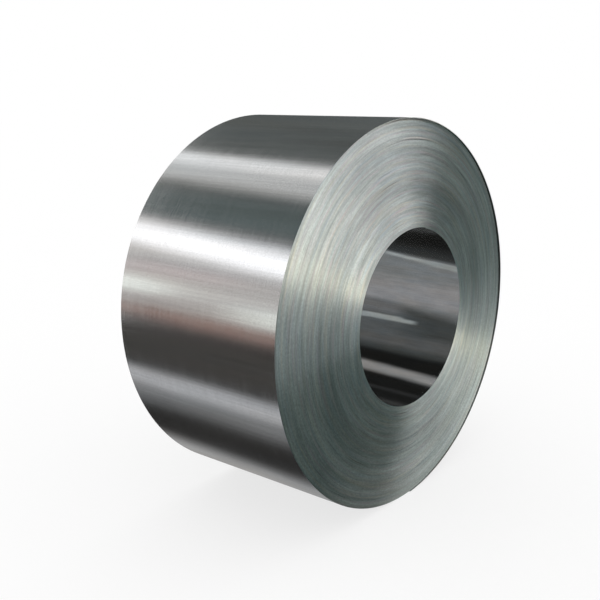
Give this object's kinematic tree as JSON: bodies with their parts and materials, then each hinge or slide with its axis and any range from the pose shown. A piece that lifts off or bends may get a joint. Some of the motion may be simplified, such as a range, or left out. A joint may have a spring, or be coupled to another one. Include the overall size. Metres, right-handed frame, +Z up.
{
  "type": "coil of elastic alloy strip",
  "caption": "Bright cold-rolled elastic alloy strip wound into a coil with an open bore, lying on its side.",
  "frame": {"origin": "on the floor, under the middle of the coil", "axes": "+Z up, +Y along the coil's axis from the front end to the back end"},
  "size_m": [1.1078, 0.5844, 1.1075],
  "materials": {
    "bright_strip": "bright cold-rolled faces, satin slit edges"
  },
  "bodies": {
    "root": {"strip_coil": "bright_strip"}
  },
  "joints": []
}
